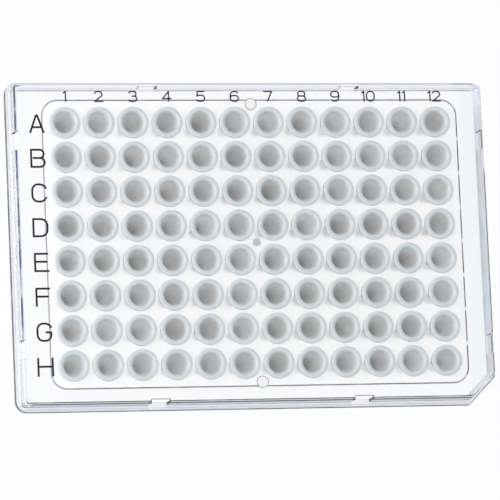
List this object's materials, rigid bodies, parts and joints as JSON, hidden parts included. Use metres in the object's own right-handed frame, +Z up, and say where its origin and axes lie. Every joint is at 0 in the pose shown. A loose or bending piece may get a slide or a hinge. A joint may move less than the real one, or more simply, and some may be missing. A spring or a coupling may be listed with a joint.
{
  "type": "well plate",
  "caption": "Flat rectangular PCR plate: a clear rigid frame with a low stepped skirt and one cut corner, carrying a grid of pale conical tubes with raised rims",
  "frame": {"origin": "centre of the footprint, level with the tips of the tubes that the plate stands on", "axes": "+Z up through the open wells; +X along the rows, from column 1 to column 12; +Y from row H to row A"},
  "size_m": [0.1278, 0.0854, 0.0155],
  "materials": {
    "frame": "clear, colourless polycarbonate, polished",
    "wells": "natural polypropylene, pale and frosted, satin"
  },
  "bodies": {
    "root": {"frame": "frame", "wells": "wells"}
  },
  "joints": []
}
